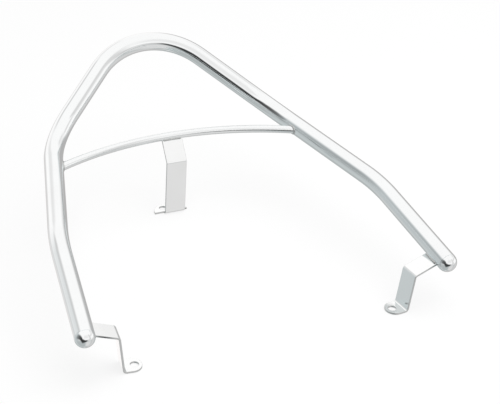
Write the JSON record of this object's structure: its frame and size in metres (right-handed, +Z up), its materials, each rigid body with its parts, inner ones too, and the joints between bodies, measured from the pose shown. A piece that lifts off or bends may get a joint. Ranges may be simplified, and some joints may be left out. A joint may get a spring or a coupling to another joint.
{
  "type": "motorcycle tandem grab bar",
  "caption": "Chromed tube grab bar for a motorcycle pillion: raised rear loop, domed open ends, bowed cross bar, folded side brackets and a centre bracket with fixing holes.",
  "frame": {"origin": "midway between the fixing holes of the two side brackets, on the underside of their tabs", "axes": "+X across the bar to the right as seen from its open ends, +Y from the open front ends to the rear loop, +Z up"},
  "size_m": [0.3818, 0.3617, 0.1625],
  "materials": {
    "chrome": "bright chromium plate on polished steel"
  },
  "bodies": {
    "root": {"main_tube": "chrome", "end_cap_left": "chrome", "end_cap_right": "chrome", "cross_bar": "chrome", "cross_bar_weld_left": "chrome", "cross_bar_weld_right": "chrome", "centre_bracket": "chrome", "centre_bracket_weld": "chrome", "side_bracket_left": "chrome", "side_bracket_right": "chrome", "side_bracket_weld_left": "chrome", "side_bracket_weld_right": "chrome"}
  },
  "joints": []
}
